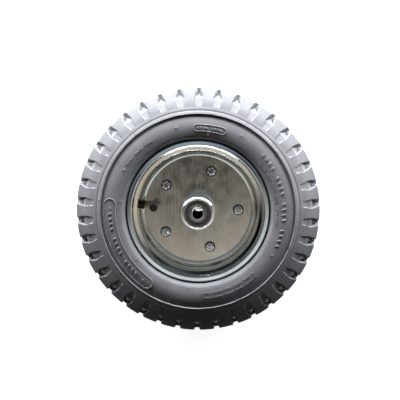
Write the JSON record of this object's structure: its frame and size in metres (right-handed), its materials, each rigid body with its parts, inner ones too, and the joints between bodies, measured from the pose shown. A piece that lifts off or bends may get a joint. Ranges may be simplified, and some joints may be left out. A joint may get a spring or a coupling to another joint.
{
  "type": "pneumatic hand truck wheel",
  "caption": "Pneumatic lugged tyre on a bolted split steel rim with an offset hub, sealed ball bearings and a bent valve.",
  "frame": {"origin": "on the wheel's axis, in the middle of the tyre's width, where the two rim halves meet", "axes": "+Z along the axle, out of the side with the nuts and the valve; the valve lies near -X"},
  "size_m": [0.312, 0.312, 0.0955],
  "materials": {
    "tyre_rubber": "moulded rubber, satin",
    "butyl_rubber": "smooth butyl",
    "zinc_plated_rim": "pressed, bright zinc plated",
    "zinc_plated_bolt": "bright zinc plated",
    "zinc_plated_hub": "turned, bright zinc plated",
    "zinc_plated_sleeve": "drawn tube, zinc plated",
    "bearing_steel": "ground and polished",
    "cage_steel": "pressed steel",
    "seal_rubber": "moulded nitrile, matt",
    "valve_brass": "turned brass, dull",
    "cap_plastic": "moulded, satin"
  },
  "bodies": {
    "axle_core": {"axle_sleeve": "zinc_plated_sleeve", "bearing_spacer": "zinc_plated_sleeve", "front_bearing_inner_race": "bearing_steel", "rear_bearing_inner_race": "bearing_steel"},
    "wheel": {"tyre": "tyre_rubber", "inner_tube": "butyl_rubber", "front_rim_half": "zinc_plated_rim", "rear_rim_half": "zinc_plated_rim", "rim_bolts": "zinc_plated_bolt", "rim_washers": "zinc_plated_bolt", "rim_nuts": "zinc_plated_bolt", "hub_tube": "zinc_plated_hub", "valve_stem": "valve_brass", "valve_nut": "valve_brass", "valve_washer": "valve_brass", "valve_core": "valve_brass", "front_bearing_outer_race": "bearing_steel", "front_bearing_upper_seal": "seal_rubber", "front_bearing_lower_seal": "seal_rubber", "rear_bearing_outer_race": "bearing_steel", "rear_bearing_upper_seal": "seal_rubber", "rear_bearing_lower_seal": "seal_rubber"},
    "front_cage_set": {"front_bearing_balls": "bearing_steel", "front_bearing_cage": "cage_steel"},
    "rear_cage_set": {"rear_bearing_balls": "bearing_steel", "rear_bearing_cage": "cage_steel"},
    "valve_cap": {"valve_cap": "cap_plastic"},
    "valve_pin": {"valve_pin": "valve_brass"}
  },
  "joints": [
    {"name": "wheel_spin", "type": "hinge", "parent": "axle_core", "child": "wheel", "pos_m": [0, 0, 0], "axis": [0, 0, 1], "continuous": true},
    {"name": "front_cage_spin", "type": "hinge", "parent": "axle_core", "child": "front_cage_set", "pos_m": [0, 0, 0.0469], "axis": [0, 0, 1], "continuous": true},
    {"name": "rear_cage_spin", "type": "hinge", "parent": "axle_core", "child": "rear_cage_set", "pos_m": [0, 0, -0.0209], "axis": [0, 0, 1], "continuous": true},
    {"name": "valve_cap_lift", "type": "slide", "parent": "wheel", "child": "valve_cap", "axis": [0, 0, 1], "range_m": [0, 0.014]},
    {"name": "valve_pin_press", "type": "slide", "parent": "wheel", "child": "valve_pin", "axis": [0, 0, -1], "range_m": [0, 0.001], "stiffness_N_per_m": 500, "springref_m": -0.0005}
  ],
  "couplings": [
    {"joint": "front_cage_spin", "follows": "wheel_spin", "ratio": 0.616},
    {"joint": "rear_cage_spin", "follows": "wheel_spin", "ratio": 0.616}
  ]
}
